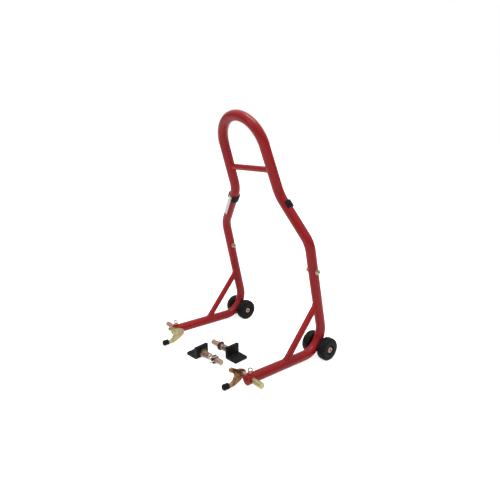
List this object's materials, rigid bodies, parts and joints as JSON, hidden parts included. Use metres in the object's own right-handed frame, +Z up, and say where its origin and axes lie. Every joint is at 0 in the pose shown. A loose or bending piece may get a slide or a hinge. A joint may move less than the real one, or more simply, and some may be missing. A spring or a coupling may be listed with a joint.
{
  "type": "motorcycle paddock stand",
  "caption": "Round-tube rear lifting stand with a hoop handle, rollers, sliding spool hooks held by eye screws, and loose rubber-lined swingarm adapters with spring clips.",
  "frame": {"origin": "on the floor, on the stand's middle plane, half way along the stand's length", "axes": "+Z up, +X across the stand to its right-hand leg, -Y the way the hooks point, +Y to the rollers"},
  "size_m": [0.5275, 0.4039, 0.7758],
  "materials": {
    "red_coat": "gloss powder coat",
    "yellow_zinc": "yellow passivated zinc plate",
    "bright_zinc": "bright zinc plate",
    "black_rubber": "matte",
    "black_coat": "satin powder coat",
    "dark_steel": "dark browned",
    "white_film": "satin film"
  },
  "bodies": {
    "stand_frame": {"axle_cap_left_inner": "bright_zinc", "axle_cap_left_outer": "bright_zinc", "axle_cap_right_inner": "bright_zinc", "axle_cap_right_outer": "bright_zinc", "axle_rod_left": "bright_zinc", "axle_rod_right": "bright_zinc", "axle_sleeve_left": "red_coat", "axle_sleeve_right": "red_coat", "blank_label_left": "white_film", "clamp_nut_left": "red_coat", "clamp_nut_right": "red_coat", "floor_bumper_left": "black_rubber", "floor_bumper_right": "black_rubber", "gusset_left": "red_coat", "gusset_right": "red_coat", "handle_cross_bar": "red_coat", "handle_frame": "red_coat", "joint_bolt_left": "yellow_zinc", "joint_bolt_right": "yellow_zinc", "joint_nut_left": "yellow_zinc", "joint_nut_right": "yellow_zinc", "leg_end_cap_left": "red_coat", "leg_end_cap_right": "red_coat", "leg_tube_left": "red_coat", "leg_tube_right": "red_coat", "thrust_washer_left_inner": "bright_zinc", "thrust_washer_left_outer": "bright_zinc", "thrust_washer_right_inner": "bright_zinc", "thrust_washer_right_outer": "bright_zinc"},
    "roller_right_outer": {"wheel_right_outer": "black_rubber", "wheel_bush_right_outer": "bright_zinc"},
    "roller_right_inner": {"wheel_right_inner": "black_rubber", "wheel_bush_right_inner": "bright_zinc"},
    "hook_right": {"hook_plate_right": "yellow_zinc", "hook_pin_right": "yellow_zinc", "hook_foot_right": "black_rubber"},
    "eye_screw_right": {"eye_screw_right": "bright_zinc"},
    "adapter_right": {"adapter_bracket_right": "black_coat", "adapter_pad_right": "black_rubber", "adapter_pin_right": "bright_zinc", "adapter_nut_right": "yellow_zinc", "adapter_spacer_right": "bright_zinc"},
    "washer_right": {"adapter_washer_right": "dark_steel"},
    "clip_right": {"adapter_clip_right": "bright_zinc"},
    "roller_left_outer": {"wheel_left_outer": "black_rubber", "wheel_bush_left_outer": "bright_zinc"},
    "roller_left_inner": {"wheel_left_inner": "black_rubber", "wheel_bush_left_inner": "bright_zinc"},
    "hook_left": {"hook_plate_left": "yellow_zinc", "hook_pin_left": "yellow_zinc", "hook_foot_left": "black_rubber"},
    "eye_screw_left": {"eye_screw_left": "bright_zinc"},
    "adapter_left": {"adapter_bracket_left": "black_coat", "adapter_pad_left": "black_rubber", "adapter_pin_left": "bright_zinc", "adapter_nut_left": "yellow_zinc", "adapter_spacer_left": "bright_zinc"},
    "washer_left": {"adapter_washer_left": "dark_steel"},
    "clip_left": {"adapter_clip_left": "bright_zinc"}
  },
  "joints": [
    {"name": "wheel_right_outer_spin", "type": "hinge", "parent": "stand_frame", "child": "roller_right_outer", "pos_m": [0.2406, 0.1663, 0.0375], "axis": [1, 0, 0], "continuous": true},
    {"name": "wheel_right_inner_spin", "type": "hinge", "parent": "stand_frame", "child": "roller_right_inner", "pos_m": [0.1754, 0.1663, 0.0375], "axis": [1, 0, 0], "continuous": true},
    {"name": "hook_right_slide", "type": "slide", "parent": "stand_frame", "child": "hook_right", "axis": [1, 0, 0], "range_m": [-0.034, 0.018]},
    {"name": "eye_screw_right_turn", "type": "hinge", "parent": "stand_frame", "child": "eye_screw_right", "pos_m": [0.208, -0.1292, 0.059], "axis": [0, 0, 1], "continuous": true},
    {"name": "adapter_right_lift", "type": "slide", "parent": "stand_frame", "child": "adapter_right", "axis": [0, 0, 1], "range_m": [0, 0.12]},
    {"name": "washer_right_slide", "type": "slide", "parent": "adapter_right", "child": "washer_right", "axis": [-0.9972, -0.075, 0], "range_m": [-0.0083, 0.004]},
    {"name": "clip_right_pull", "type": "slide", "parent": "adapter_right", "child": "clip_right", "axis": [0, 0, 1], "range_m": [0, 0.03]},
    {"name": "wheel_left_outer_spin", "type": "hinge", "parent": "stand_frame", "child": "roller_left_outer", "pos_m": [-0.2406, 0.1663, 0.0375], "axis": [1, 0, 0], "continuous": true},
    {"name": "wheel_left_inner_spin", "type": "hinge", "parent": "stand_frame", "child": "roller_left_inner", "pos_m": [-0.1754, 0.1663, 0.0375], "axis": [1, 0, 0], "continuous": true},
    {"name": "hook_left_slide", "type": "slide", "parent": "stand_frame", "child": "hook_left", "axis": [-1, 0, 0], "range_m": [-0.04, 0.0105]},
    {"name": "eye_screw_left_turn", "type": "hinge", "parent": "stand_frame", "child": "eye_screw_left", "pos_m": [-0.208, -0.1292, 0.059], "axis": [0, 0, 1], "continuous": true},
    {"name": "adapter_left_lift", "type": "slide", "parent": "stand_frame", "child": "adapter_left", "axis": [0, 0, 1], "range_m": [0, 0.12]},
    {"name": "washer_left_slide", "type": "slide", "parent": "adapter_left", "child": "washer_left", "axis": [0.994, 0.1097, 0], "range_m": [-0.0183, 0.002]},
    {"name": "clip_left_pull", "type": "slide", "parent": "adapter_left", "child": "clip_left", "axis": [0.1097, -0.994, 0], "range_m": [0, 0.03]}
  ]
}
